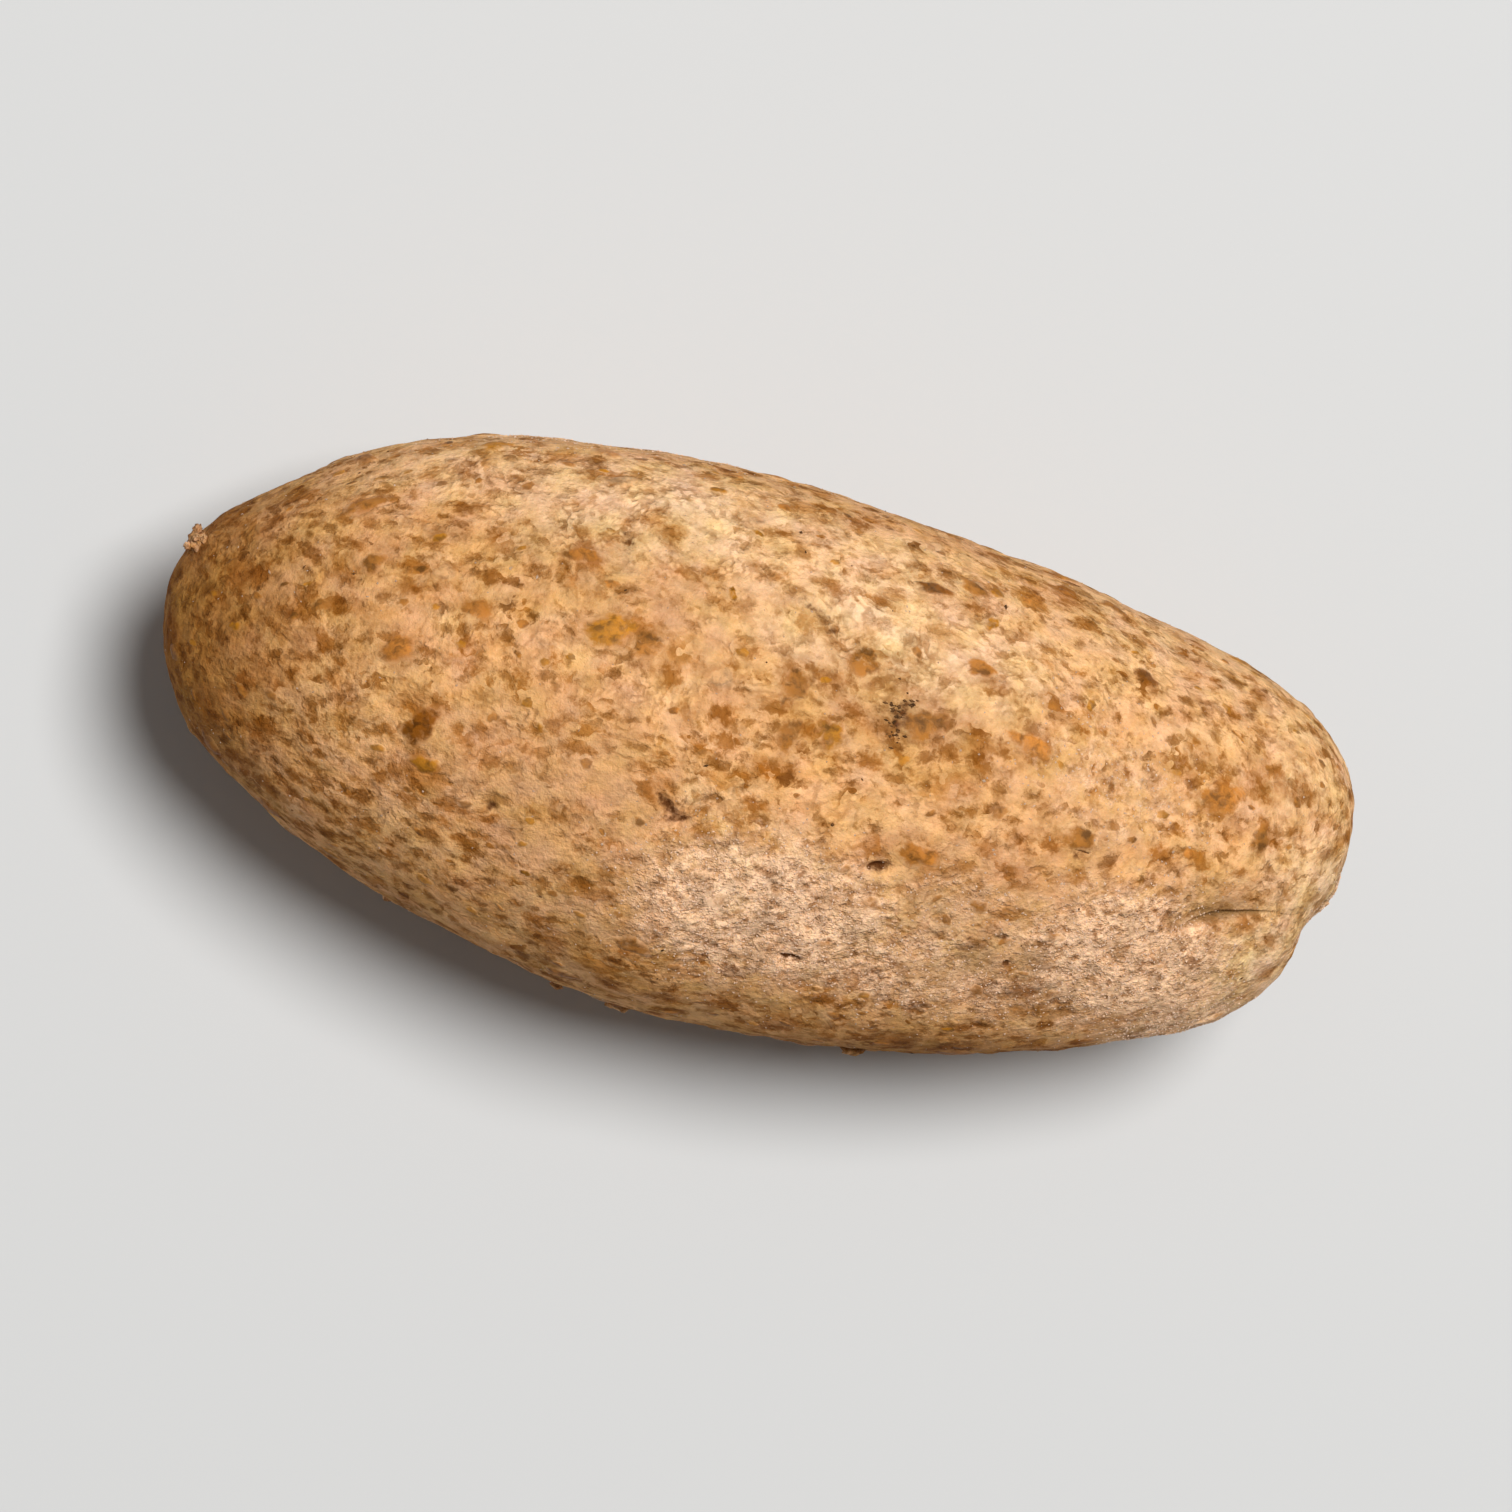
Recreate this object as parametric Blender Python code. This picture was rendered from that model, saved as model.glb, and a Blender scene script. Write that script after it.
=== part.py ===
"""One raw frozen kibbeh: a torpedo of bulgur and meat dough, rolled by hand.

Metres, +Z up. The long axis lies on X, the blunter end is at +X, and the origin is at the middle of
the base, on the flat that the freezer tray left. The dough is one solid. Cracked bulgur grains that
stand proud of it and the flakes of ice that cling to its lower flanks are fused to its surface.
"""

import math
import random

import bmesh
import bpy
from mathutils import Matrix, Vector, noise

MM = 0.001

# Driving sizes
LENGTH = 83.5 * MM
WIDTH = 37.4 * MM
HEIGHT = 34.4 * MM
TRAY_CUT = 0.9 * MM  # how much of the round underside the tray pressed flat

# How the rolled shape runs from end to end
BELLY_SHARE = -0.06  # place of the widest section, as a share of the half length
LEFT_BLUNT = 2.0  # 2 is an ellipse, and more is blunter
RIGHT_BLUNT = 2.65
SECTION_SQUARENESS = 2.12
BELLY_OFFSET = 0.25 * MM  # keeps the box of the bent roll over the origin
LEFT_BEND, LEFT_BEND_POWER = 1.45 * MM, 1.5
RIGHT_BEND, RIGHT_BEND_POWER = 2.85 * MM, 4.0
LEFT_DROOP, RIGHT_LIFT = 0.7 * MM, 0.9 * MM

# Marks of the hand: x, y, z of the middle, reach along, across and up, and height (below 0 is a press)
PRESSES = (
    ((20.0, -11.7, 29.0), (15.0, 6.0, 7.0), -1.15),  # long facet on the near right flank
    ((11.0, -17.3, 17.0), (17.0, 5.0, 9.0), 0.45),  # fullness of the near edge
    ((41.0, 0.3, 20.0), (3.0, 1.3, 6.0), 0.20),  # lip of dough over the crack, at the tip
    ((40.6, -2.9, 19.0), (3.0, 2.0, 9.0), -0.75),  # flap of dough past the crack
    ((38.5, -7.8, 18.0), (4.0, 3.4, 8.0), 0.35),
    ((36.0, -12.5, 18.0), (6.0, 5.0, 8.0), 0.90),  # shoulder below the flap
    ((-38.5, -6.0, 17.0), (5.0, 4.5, 8.0), 0.55),  # near corner of the left end
    ((-37.0, 12.8, 17.0), (5.0, 5.0, 10.0), -0.70),  # the left end is pinched on the far side
    ((-24.0, 10.8, 29.0), (9.0, 6.0, 6.0), -0.60),  # thumb press behind the left end
    ((-21.0, -11.2, 27.0), (10.0, 6.0, 7.0), -0.40),
    ((22.0, 13.8, 25.0), (11.0, 5.0, 8.0), -0.50),  # palm flat on the far right side
    ((-3.0, 3.8, 35.0), (13.0, 7.0, 6.0), 0.40),  # crown
    ((-12.0, -14.2, 8.0), (14.0, 6.0, 6.0), -0.50),
    ((8.0, 18.5, 16.0), (16.0, 5.0, 9.0), -0.25),  # the far edge is a little flat in the middle
    ((-21.0, 17.0, 17.0), (8.0, 5.0, 8.0), 0.40),  # fullness of the far edge
)
# Slow unevenness of the dough: wavelength and height, in millimetres
SWELLS = ((19.0, 0.50), (8.0, 0.26), (4.2, 0.12))

# Crack where the last fold of dough closes the right end, from the flank out over the tip
CRACK_START = (29.4 * MM, -5.2 * MM)
CRACK_END = (42.4 * MM, 0.1 * MM)
CRACK_SWAY = 0.42 * MM
CRACK_WANDER = 0.10 * MM
CRACK_WIDTH = 0.8 * MM
CRACK_DEPTH = 1.3 * MM
CRACK_STATIONS = 16
# It gapes at two places and is all but shut between them: share of the length, and spread
CRACK_GAPES = ((0.20, 0.24), (1.04, 0.18))
CRACK_SHUT = 0.25  # how open it is elsewhere

# Mesh of the dough
RINGS = 62
SIDES = 44

# Bulgur: cracked grains that stand proud. The largest on the crown, as they lie on the real piece:
# x and y from above, length and width in millimetres, and the turn from the long axis in degrees
CROWN_GRAINS = (
    (-14.3, 5.1, 2.7, 2.0, 10),
    (-11.6, 4.8, 1.8, 1.4, 70),
    (-24.7, -3.8, 2.8, 1.8, 60),
    (-23.8, -6.2, 1.7, 1.1, 0),
    (-16.8, 9.8, 2.6, 1.2, 5),
    (-27.4, 0.7, 2.1, 1.6, 20),
    (-23.0, 4.6, 2.0, 1.1, -10),
    (2.8, 7.0, 2.4, 1.7, 30),
    (-1.5, 4.2, 2.3, 1.7, 80),
    (1.5, 1.8, 1.9, 1.7, 45),
    (7.7, 3.9, 3.3, 1.7, 25),
    (15.3, 4.3, 2.9, 1.5, -15),
    (23.2, 11.0, 1.9, 1.5, 0),
    (29.6, 4.0, 2.8, 2.0, 10),
    (33.2, 2.0, 1.9, 1.5, 60),
    (20.0, -0.9, 2.4, 1.4, 0),
    (9.4, -4.6, 2.7, 1.4, -10),
    (-7.0, -14.6, 2.1, 1.3, 0),
    (7.0, 13.0, 2.4, 1.1, 5),
    (-25.5, 6.6, 1.5, 1.2, 0),
    (-30.1, 6.1, 1.5, 1.3, 20),
    (-1.2, 1.2, 2.0, 1.4, 80),
    (10.9, 8.5, 1.7, 1.4, 0),
    (-6.5, 3.6, 1.8, 1.4, 30),
    (10.0, 14.0, 1.7, 1.3, 0),
    (-14.7, 15.5, 1.8, 1.0, 0),
    (-31.2, 10.0, 3.2, 1.1, 25),
)
# The rest on the flanks and below, drawn at random
GRAIN_COUNT = 96
GRAIN_HIGHEST = 23.0
GRAIN_LENGTHS = (1.4, 2.6)
GRAIN_GAP = 3.3
GRAIN_PROUD = 0.30
GRAIN_CORNERS = 6
GRAIN_LEAN = 0.68  # size of a grain's top face as a share of its foot

# Ice: flakes that cling where the flanks turn under, most of them on the near side
FLAKE_COUNT = 26
FLAKE_SIZES = (0.8, 1.7)
FLAKE_GAP = 2.0
FLAKE_BANDS = (  # from and to along the roll, as v, and round it in degrees
    ((-0.60, 0.75), (183, 204)),
    ((-0.10, 0.88), (180, 222)),
    ((-0.92, -0.30), (190, 345)),
)
TIP_NUB = ((-40.8, 5.2), 2.3)  # a crumb of dough left on the left tip: x, y and size

# Finishes: colour, roughness
DOUGH = ((0.60, 0.36, 0.17), 0.72)
BULGUR = ((0.38, 0.17, 0.04), 0.55)
ICE = ((0.78, 0.74, 0.70), 0.45)


def clear_scene():
    for obj in list(bpy.data.objects):
        bpy.data.objects.remove(obj)


def material(name, colour, roughness):
    made = bpy.data.materials.new(name)
    made.use_nodes = True
    shader = made.node_tree.nodes["Principled BSDF"]
    shader.inputs["Base Color"].default_value = (*colour, 1)
    shader.inputs["Roughness"].default_value = roughness
    shader.inputs["Metallic"].default_value = 0
    made.diffuse_color = (*colour, 1)
    return made


def rounded(value, power):
    """A signed power, which squares a circle up a little."""
    return math.copysign(abs(value) ** power, value)


def section(v):
    """Middle and half sizes of the cross-section at v, from -1 at the left tip to 1 at the right."""
    left = v < 0
    reach = LENGTH / 2 * (1 + BELLY_SHARE if left else 1 - BELLY_SHARE)
    size = max(0.0, 1 - v * v) ** (1 / (LEFT_BLUNT if left else RIGHT_BLUNT))
    if left:
        bend = LEFT_BEND * abs(v) ** LEFT_BEND_POWER
        lift = -LEFT_DROOP * v * v
    else:
        bend = RIGHT_BEND * v**RIGHT_BEND_POWER
        lift = RIGHT_LIFT * v * v
    middle = Vector((
        BELLY_SHARE * LENGTH / 2 + v * reach,
        BELLY_OFFSET + bend,
        (HEIGHT - TRAY_CUT) / 2 + lift,
    ))
    return middle, WIDTH / 2 * size, (HEIGHT + TRAY_CUT) / 2 * size


def hand_marks(point):
    """How far the presses and swells move a point of the surface outwards."""
    moved = 0.0
    for middle, reach, height in PRESSES:
        away = sum(((point[i] / MM - middle[i]) / reach[i]) ** 2 for i in range(3))
        moved += height * MM * math.exp(-away)
    for wavelength, height in SWELLS:
        moved += height * MM * noise.noise(point / (wavelength * MM) + Vector((3.1, 7.7, 1.9)))
    return moved


def surface(v, turn):
    """Point of the dough at v and at an angle round the long axis, 0 at +Y and 90 degrees on top."""
    middle, half_width, half_height = section(v)
    power = 2 / SECTION_SQUARENESS
    point = middle + Vector((
        0,
        half_width * rounded(math.cos(turn), power),
        half_height * rounded(math.sin(turn), power),
    ))
    outward = Vector((
        point.x / (LENGTH / 2) ** 2,
        (point.y - middle.y) / (WIDTH / 2) ** 2,
        (point.z - middle.z) / (HEIGHT / 2) ** 2,
    )).normalized()
    return point + outward * hand_marks(point)


def seat(v, turn):
    """A frame on the surface: its point, with X along the roll and Z pointing out of the dough."""
    step = 0.004
    along = surface(v + step, turn) - surface(v - step, turn)
    around = surface(v, turn + step) - surface(v, turn - step)
    out = around.cross(along).normalized()
    along.normalize()
    frame = Matrix((along, out.cross(along), out)).transposed().to_4x4()
    frame.translation = surface(v, turn)
    return frame


def on_top(x, y):
    """v and turn of the place on the upper side that is seen at x and y from above."""
    belly = BELLY_SHARE * LENGTH / 2
    v = (x - belly) / (LENGTH / 2 + (belly if x < belly else -belly))
    v = max(-0.985, min(0.985, v))
    middle, half_width, _ = section(v)
    share = max(-0.98, min(0.98, (y - middle.y) / half_width))
    return v, math.acos(rounded(share, SECTION_SQUARENESS / 2))


def roll_dough():
    """The dough as a closed mesh of rings, with its underside cut flat at z = 0."""
    mesh = bmesh.new()
    tips = [mesh.verts.new(surface(v, 0)) for v in (-1, 1)]
    rings = []
    for i in range(1, RINGS):
        v = -math.cos(math.pi * i / RINGS)
        turns = (2 * math.pi * j / SIDES for j in range(SIDES))
        rings.append([mesh.verts.new(surface(v, turn)) for turn in turns])
    for j in range(SIDES):
        k = (j + 1) % SIDES
        mesh.faces.new((tips[0], rings[0][j], rings[0][k]))
        mesh.faces.new((tips[1], rings[-1][k], rings[-1][j]))
        for near, far in zip(rings, rings[1:]):
            mesh.faces.new((near[j], far[j], far[k], near[k]))
    bmesh.ops.recalc_face_normals(mesh, faces=mesh.faces)
    everything = mesh.verts[:] + mesh.edges[:] + mesh.faces[:]
    bmesh.ops.bisect_plane(
        mesh, geom=everything, plane_co=(0, 0, 0), plane_no=(0, 0, -1), clear_outer=True
    )
    rim = [edge for edge in mesh.edges if edge.is_boundary]
    bmesh.ops.contextual_create(mesh, geom=rim)
    bmesh.ops.recalc_face_normals(mesh, faces=mesh.faces)
    return finished("kibbeh", mesh, bpy.data.materials["dough"], bpy.context.scene.collection)


def finished(name, mesh, finish, collection):
    data = bpy.data.meshes.new(name)
    mesh.to_mesh(data)
    mesh.free()
    data.materials.append(finish)
    obj = bpy.data.objects.new(name, data)
    collection.objects.link(obj)
    return obj


def stone(name, sizes, frame, roughen, draw, finish, collection):
    """A small cornered lump of 20 faces, with its given length, width and height, set in a frame."""
    mesh = bmesh.new()
    bmesh.ops.create_icosphere(mesh, subdivisions=1, radius=0.5)
    for vert in mesh.verts:
        jog = 1 + draw.uniform(-roughen, roughen)
        vert.co = Vector(vert.co[i] * sizes[i] * jog for i in range(3))
    bmesh.ops.transform(mesh, matrix=frame, verts=mesh.verts)
    return finished(name, mesh, finish, collection)


def chip(name, length, width, frame, draw, finish, collection):
    """A cracked grain: a cornered chip whose sides lean in to a smaller flat top."""
    mesh = bmesh.new()
    radii = [draw.uniform(0.42, 0.54) for _ in range(GRAIN_CORNERS)]
    rings = []
    for share, level in ((1.0, -1.1 * GRAIN_PROUD), (GRAIN_LEAN, GRAIN_PROUD * draw.uniform(0.8, 1.1))):
        ring = []
        for corner, radius in enumerate(radii):
            angle = 2 * math.pi * corner / GRAIN_CORNERS
            reach = radius * share
            spot = (length * reach * math.cos(angle), width * reach * math.sin(angle), level * MM)
            ring.append(mesh.verts.new(spot))
        rings.append(ring)
    foot, top = rings
    for j in range(GRAIN_CORNERS):
        k = (j + 1) % GRAIN_CORNERS
        mesh.faces.new((foot[j], foot[k], top[k], top[j]))
    mesh.faces.new(top)
    mesh.faces.new(foot)
    bmesh.ops.recalc_face_normals(mesh, faces=mesh.faces)
    bmesh.ops.triangulate(mesh, faces=mesh.faces)
    bmesh.ops.transform(mesh, matrix=frame, verts=mesh.verts)
    return finished(name, mesh, finish, collection)


def scatter_grains(collection):
    """Bulgur: the large grains of the crown, then those of the flanks, none within GRAIN_GAP of another."""
    draw = random.Random(11)
    finish = bpy.data.materials["bulgur"]
    taken = []
    for x, y, length, width, turn in CROWN_GRAINS:
        frame = seat(*on_top(x * MM, y * MM))
        turned = frame @ Matrix.Rotation(math.radians(turn), 4, "Z")
        chip(f"grain_{len(taken)}", length * MM, width * MM, turned, draw, finish, collection)
        taken.append(frame.translation)
    shortest, longest = GRAIN_LENGTHS
    while len(taken) < GRAIN_COUNT:
        frame = seat(draw.uniform(-0.93, 0.93), draw.uniform(0, 2 * math.pi))
        spot = frame.translation
        too_near = any((spot - other).length < GRAIN_GAP * MM for other in taken)
        if too_near or not 2.2 * MM < spot.z < GRAIN_HIGHEST * MM or near_crack(spot):
            continue
        length = draw.triangular(shortest, longest, shortest) * MM
        turned = frame @ Matrix.Rotation(draw.gauss(0, 0.6), 4, "Z")
        width = length * draw.uniform(0.5, 0.8)
        chip(f"grain_{len(taken)}", length, width, turned, draw, finish, collection)
        taken.append(spot)


def scatter_flakes(collection):
    """Ice: flat flakes in the bands of the lower flanks, and the nub of dough on the left tip."""
    draw = random.Random(5)
    finish = bpy.data.materials["ice"]
    smallest, largest = FLAKE_SIZES
    taken = []
    while len(taken) < FLAKE_COUNT:
        ends, turns = FLAKE_BANDS[len(taken) % len(FLAKE_BANDS)]
        frame = seat(draw.uniform(*ends), math.radians(draw.uniform(*turns)))
        spot = frame.translation
        too_near = any((spot - other).length < FLAKE_GAP * MM for other in taken)
        if too_near or spot.z < 3 * MM or near_crack(spot):
            continue
        size = draw.uniform(smallest, largest) * MM
        sizes = (size * draw.uniform(0.9, 1.4), size, size * draw.uniform(0.5, 0.8))
        raised = frame @ Matrix.Translation((0, 0, size * 0.1))
        stone(f"flake_{len(taken)}", sizes, raised, 0.16, draw, finish, collection)
        taken.append(spot)
    (x, y), size = TIP_NUB
    frame = seat(*on_top(x * MM, y * MM))
    sizes = (size * 0.8 * MM, size * MM, size * 0.8 * MM)
    stone("nub", sizes, frame, 0.12, draw, bpy.data.materials["dough"], collection)


def crack_path(share):
    """Point of the crack as seen from above, at a share of its length."""
    x = CRACK_START[0] + (CRACK_END[0] - CRACK_START[0]) * share
    y = CRACK_START[1] + (CRACK_END[1] - CRACK_START[1]) * share
    aside = CRACK_SWAY * math.sin(2 * math.pi * share) + CRACK_WANDER * math.sin(17 * share)
    return x, y + aside


def crack_open(share):
    gapes = (math.exp(-(((share - middle) / spread) ** 2)) for middle, spread in CRACK_GAPES)
    return CRACK_SHUT + (1 - CRACK_SHUT) * max(gapes)


def near_crack(spot):
    if spot.z < HEIGHT / 2:
        return False
    shares = (i / CRACK_STATIONS for i in range(CRACK_STATIONS + 1))
    return any(math.dist(crack_path(share), spot.xy) < 2.4 * MM for share in shares)


def crack_cutter():
    """A curved wedge that follows the crack: open above the surface, and sharp below it."""
    mesh = bmesh.new()
    rings = []
    for i in range(CRACK_STATIONS + 1):
        share = i / CRACK_STATIONS
        frame = seat(*on_top(*crack_path(share)))
        x, y = (
            b - a for a, b in zip(crack_path(share - 0.01), crack_path(share + 0.01))
        )
        out = frame.col[2].to_3d()
        side = out.cross(Vector((x, y, 0))).normalized()
        open_share = crack_open(share)
        half = CRACK_WIDTH / 2 * open_share
        foot = frame.translation - out * CRACK_DEPTH * open_share
        lip = frame.translation + out * 1.6 * MM
        wide = half * (1 + 1.6 * MM / (CRACK_DEPTH * open_share))
        rings.append([mesh.verts.new(p) for p in (foot, lip + side * wide, lip - side * wide)])
    for near, far in zip(rings, rings[1:]):
        for j in range(3):
            k = (j + 1) % 3
            mesh.faces.new((near[j], far[j], far[k], near[k]))
    mesh.faces.new(rings[0])
    mesh.faces.new(rings[-1])
    bmesh.ops.triangulate(mesh, faces=mesh.faces)
    bmesh.ops.recalc_face_normals(mesh, faces=mesh.faces)
    cutter = finished("crack_cutter", mesh, bpy.data.materials["dough"], bpy.context.scene.collection)
    cutter.hide_render = True
    cutter.display_type = "WIRE"
    return cutter


def apply_modifiers(obj):
    """Keeps the object's mesh as its modifiers make it."""
    bpy.context.view_layer.update()
    seen = obj.evaluated_get(bpy.context.evaluated_depsgraph_get())
    made = bpy.data.meshes.new_from_object(seen)
    obj.modifiers.clear()
    obj.data = made


def boolean(obj, name, operation, other):
    modifier = obj.modifiers.new(name, "BOOLEAN")
    modifier.operation = operation
    modifier.solver = "EXACT"
    modifier.material_mode = "TRANSFER"
    if isinstance(other, bpy.types.Collection):
        modifier.operand_type = "COLLECTION"
        modifier.collection = other
    else:
        modifier.object = other


def main():
    clear_scene()
    material("dough", *DOUGH)
    material("bulgur", *BULGUR)
    material("ice", *ICE)
    kibbeh = roll_dough()
    cutter = crack_cutter()
    boolean(kibbeh, "crack", "DIFFERENCE", cutter)
    apply_modifiers(kibbeh)
    bpy.data.objects.remove(cutter)
    fused = bpy.data.collections.new("fused")
    bpy.context.scene.collection.children.link(fused)
    scatter_grains(fused)
    scatter_flakes(fused)
    boolean(kibbeh, "grains and flakes", "UNION", fused)
    apply_modifiers(kibbeh)
    for obj in list(fused.objects):
        bpy.data.objects.remove(obj)
    bpy.data.collections.remove(fused)
    kibbeh.data.shade_smooth()
    kibbeh.data.set_sharp_from_angle(angle=math.radians(35))


main()
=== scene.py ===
# A raw frozen kibbeh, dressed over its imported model: dough, bulgur grains, spice specks and freezer frost
import math
import random

import bmesh
import bpy
import numpy as np
from mathutils import Matrix, Vector, noise
from mathutils.bvhtree import BVHTree


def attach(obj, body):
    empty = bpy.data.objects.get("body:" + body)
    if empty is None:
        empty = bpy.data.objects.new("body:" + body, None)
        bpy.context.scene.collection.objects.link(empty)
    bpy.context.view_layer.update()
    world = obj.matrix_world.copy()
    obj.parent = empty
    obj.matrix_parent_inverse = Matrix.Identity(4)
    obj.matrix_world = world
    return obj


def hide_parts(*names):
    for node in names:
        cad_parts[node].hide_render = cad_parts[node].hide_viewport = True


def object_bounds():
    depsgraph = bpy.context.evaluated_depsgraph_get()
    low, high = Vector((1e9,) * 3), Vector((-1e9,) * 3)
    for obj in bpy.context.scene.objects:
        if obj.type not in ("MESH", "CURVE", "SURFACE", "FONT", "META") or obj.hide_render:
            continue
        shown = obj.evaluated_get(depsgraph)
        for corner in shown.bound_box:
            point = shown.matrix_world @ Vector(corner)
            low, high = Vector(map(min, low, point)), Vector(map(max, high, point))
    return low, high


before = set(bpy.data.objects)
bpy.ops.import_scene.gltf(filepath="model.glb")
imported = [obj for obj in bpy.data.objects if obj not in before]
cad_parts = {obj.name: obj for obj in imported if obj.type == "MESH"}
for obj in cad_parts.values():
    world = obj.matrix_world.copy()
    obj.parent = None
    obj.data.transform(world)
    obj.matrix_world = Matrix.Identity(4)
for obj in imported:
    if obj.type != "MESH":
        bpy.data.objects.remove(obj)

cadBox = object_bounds()

mm = 0.001


# Small helpers for colours, nodes and meshes

def linear(hexColour):
    channels = (int(hexColour[i:i + 2], 16) / 255 for i in (1, 3, 5))
    return tuple(c / 12.92 if c <= 0.04045 else ((c + 0.055) / 1.055) ** 2.4 for c in channels)


def addNode(tree, kind, inputs=None, **settings):
    node = tree.nodes.new(kind)
    for name, value in settings.items():
        setattr(node, name, value)
    for socket, value in (inputs or {}).items():
        if isinstance(value, bpy.types.NodeSocket):
            tree.links.new(value, node.inputs[socket])
        else:
            node.inputs[socket].default_value = value
    return node


def newMaterial(name):
    made = bpy.data.materials.new(name)
    made.use_nodes = True
    made.node_tree.nodes.clear()
    return made


def newPiece(name, points, faces, finish, replaced=None):
    # points in millimetres
    mesh = bpy.data.meshes.new(name)
    mesh.from_pydata([Vector(p) * mm for p in points], [], faces)
    mesh.update()
    mesh.shade_smooth()
    mesh.materials.append(finish)
    piece = bpy.data.objects.new(name, mesh)
    bpy.context.scene.collection.objects.link(piece)
    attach(piece, "root")
    if replaced:
        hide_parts(replaced)
    return piece


def addAttribute(piece, name, values):
    layer = piece.data.attributes.new(name, "FLOAT", "POINT")
    layer.data.foreach_set("value", np.asarray(values, np.float32))


def addColour(piece, name, values):
    layer = piece.data.attributes.new(name, "FLOAT_COLOR", "POINT")
    layer.data.foreach_set("color", np.asarray(values, np.float32).ravel())


# The rolled form, in millimetres, worked out as the solid's is

roll = {
    "length": 83.5, "width": 37.4, "height": 34.4, "trayCut": 0.9,
    "bellyShare": -0.06, "leftBlunt": 2.0, "rightBlunt": 2.65, "squareness": 2.12,
    "bellyOffset": 0.25, "leftBend": (1.45, 1.5), "rightBend": (2.85, 4.0),
    "leftDroop": 0.7, "rightLift": 0.9,
}
# marks of the hand: middle, reach and height
presses = (
    ((20.0, -11.7, 29.0), (15.0, 6.0, 7.0), -1.15),
    ((11.0, -17.3, 17.0), (17.0, 5.0, 9.0), 0.45),
    ((41.0, 0.3, 20.0), (3.0, 1.3, 6.0), 0.20),
    ((40.6, -2.9, 19.0), (3.0, 2.0, 9.0), -0.75),
    ((38.5, -7.8, 18.0), (4.0, 3.4, 8.0), 0.35),
    ((36.0, -12.5, 18.0), (6.0, 5.0, 8.0), 0.90),
    ((-38.5, -6.0, 17.0), (5.0, 4.5, 8.0), 0.55),
    ((-37.0, 12.8, 17.0), (5.0, 5.0, 10.0), -0.70),
    ((-24.0, 10.8, 29.0), (9.0, 6.0, 6.0), -0.60),
    ((-21.0, -11.2, 27.0), (10.0, 6.0, 7.0), -0.40),
    ((22.0, 13.8, 25.0), (11.0, 5.0, 8.0), -0.50),
    ((-3.0, 3.8, 35.0), (13.0, 7.0, 6.0), 0.40),
    ((-12.0, -14.2, 8.0), (14.0, 6.0, 6.0), -0.50),
    ((8.0, 18.5, 16.0), (16.0, 5.0, 9.0), -0.25),
    ((-21.0, 17.0, 17.0), (8.0, 5.0, 8.0), 0.40),
)
swells = ((19.0, 0.50), (8.0, 0.26), (4.2, 0.12))  # wavelength and height
crack = {
    "start": (29.4, -5.2), "end": (42.4, 0.1), "sway": 0.42, "wander": 0.10, "width": 0.85, "depth": 0.9,
    "gapes": ((0.18, 0.20), (1.04, 0.14)), "shut": 0.12,
    "slope": (1.8, 0.5), "slopeDepth": 0.45,  # reach on the far and the near side of the fold
    "shade": 0.85,
}


def rounded(value, power):
    return math.copysign(abs(value) ** power, value)


def section(v):
    # middle and half sizes of the cross-section, v from -1 at the left tip to 1 at the right
    left = v < 0
    share = roll["bellyShare"]
    reach = roll["length"] / 2 * (1 + share if left else 1 - share)
    size = max(0.0, 1 - v * v) ** (1 / roll["leftBlunt" if left else "rightBlunt"])
    bend, power = roll["leftBend" if left else "rightBend"]
    lift = -roll["leftDroop"] * v * v if left else roll["rightLift"] * v * v
    middle = Vector((
        share * roll["length"] / 2 + v * reach,
        roll["bellyOffset"] + bend * abs(v) ** power,
        (roll["height"] - roll["trayCut"]) / 2 + lift,
    ))
    return middle, roll["width"] / 2 * size, (roll["height"] + roll["trayCut"]) / 2 * size


def handMarks(p):
    moved = 0.0
    for middle, reach, height in presses:
        away = sum(((p[i] - middle[i]) / reach[i]) ** 2 for i in range(3))
        if away < 12:
            moved += height * math.exp(-away)
    for wavelength, height in swells:
        moved += height * noise.noise(p / wavelength + Vector((3.1, 7.7, 1.9)))
    return moved


def surface(v, turn):
    middle, halfWidth, halfHeight = section(v)
    power = 2 / roll["squareness"]
    point = middle + Vector((
        0,
        halfWidth * rounded(math.cos(turn), power),
        halfHeight * rounded(math.sin(turn), power),
    ))
    outward = Vector((
        point.x / (roll["length"] / 2) ** 2,
        (point.y - middle.y) / (roll["width"] / 2) ** 2,
        (point.z - middle.z) / (roll["height"] / 2) ** 2,
    )).normalized()
    return point + outward * handMarks(point)


def seat(v, turn):
    # a frame on the surface, X along the roll and Z out of the dough
    step = 0.004
    along = surface(v + step, turn) - surface(v - step, turn)
    around = surface(v, turn + step) - surface(v, turn - step)
    out = around.cross(along).normalized()
    along.normalize()
    made = Matrix((along, out.cross(along), out)).transposed().to_4x4()
    made.translation = surface(v, turn)
    return made


def onTop(x, y):
    belly = roll["bellyShare"] * roll["length"] / 2
    v = (x - belly) / (roll["length"] / 2 + (belly if x < belly else -belly))
    v = max(-0.985, min(0.985, v))
    middle, halfWidth, _ = section(v)
    share = max(-0.98, min(0.98, (y - middle.y) / halfWidth))
    return v, math.acos(rounded(share, roll["squareness"] / 2))


def crackPath(share):
    x = crack["start"][0] + (crack["end"][0] - crack["start"][0]) * share
    y = crack["start"][1] + (crack["end"][1] - crack["start"][1]) * share
    return x, y + crack["sway"] * math.sin(2 * math.pi * share) + crack["wander"] * math.sin(17 * share)


def crackOpen(share):
    widest = 0
    for middle, spread in crack["gapes"]:
        widest = np.maximum(widest, np.exp(-(((share - middle) / spread) ** 2)))
    return crack["shut"] + (1 - crack["shut"]) * widest


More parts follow.
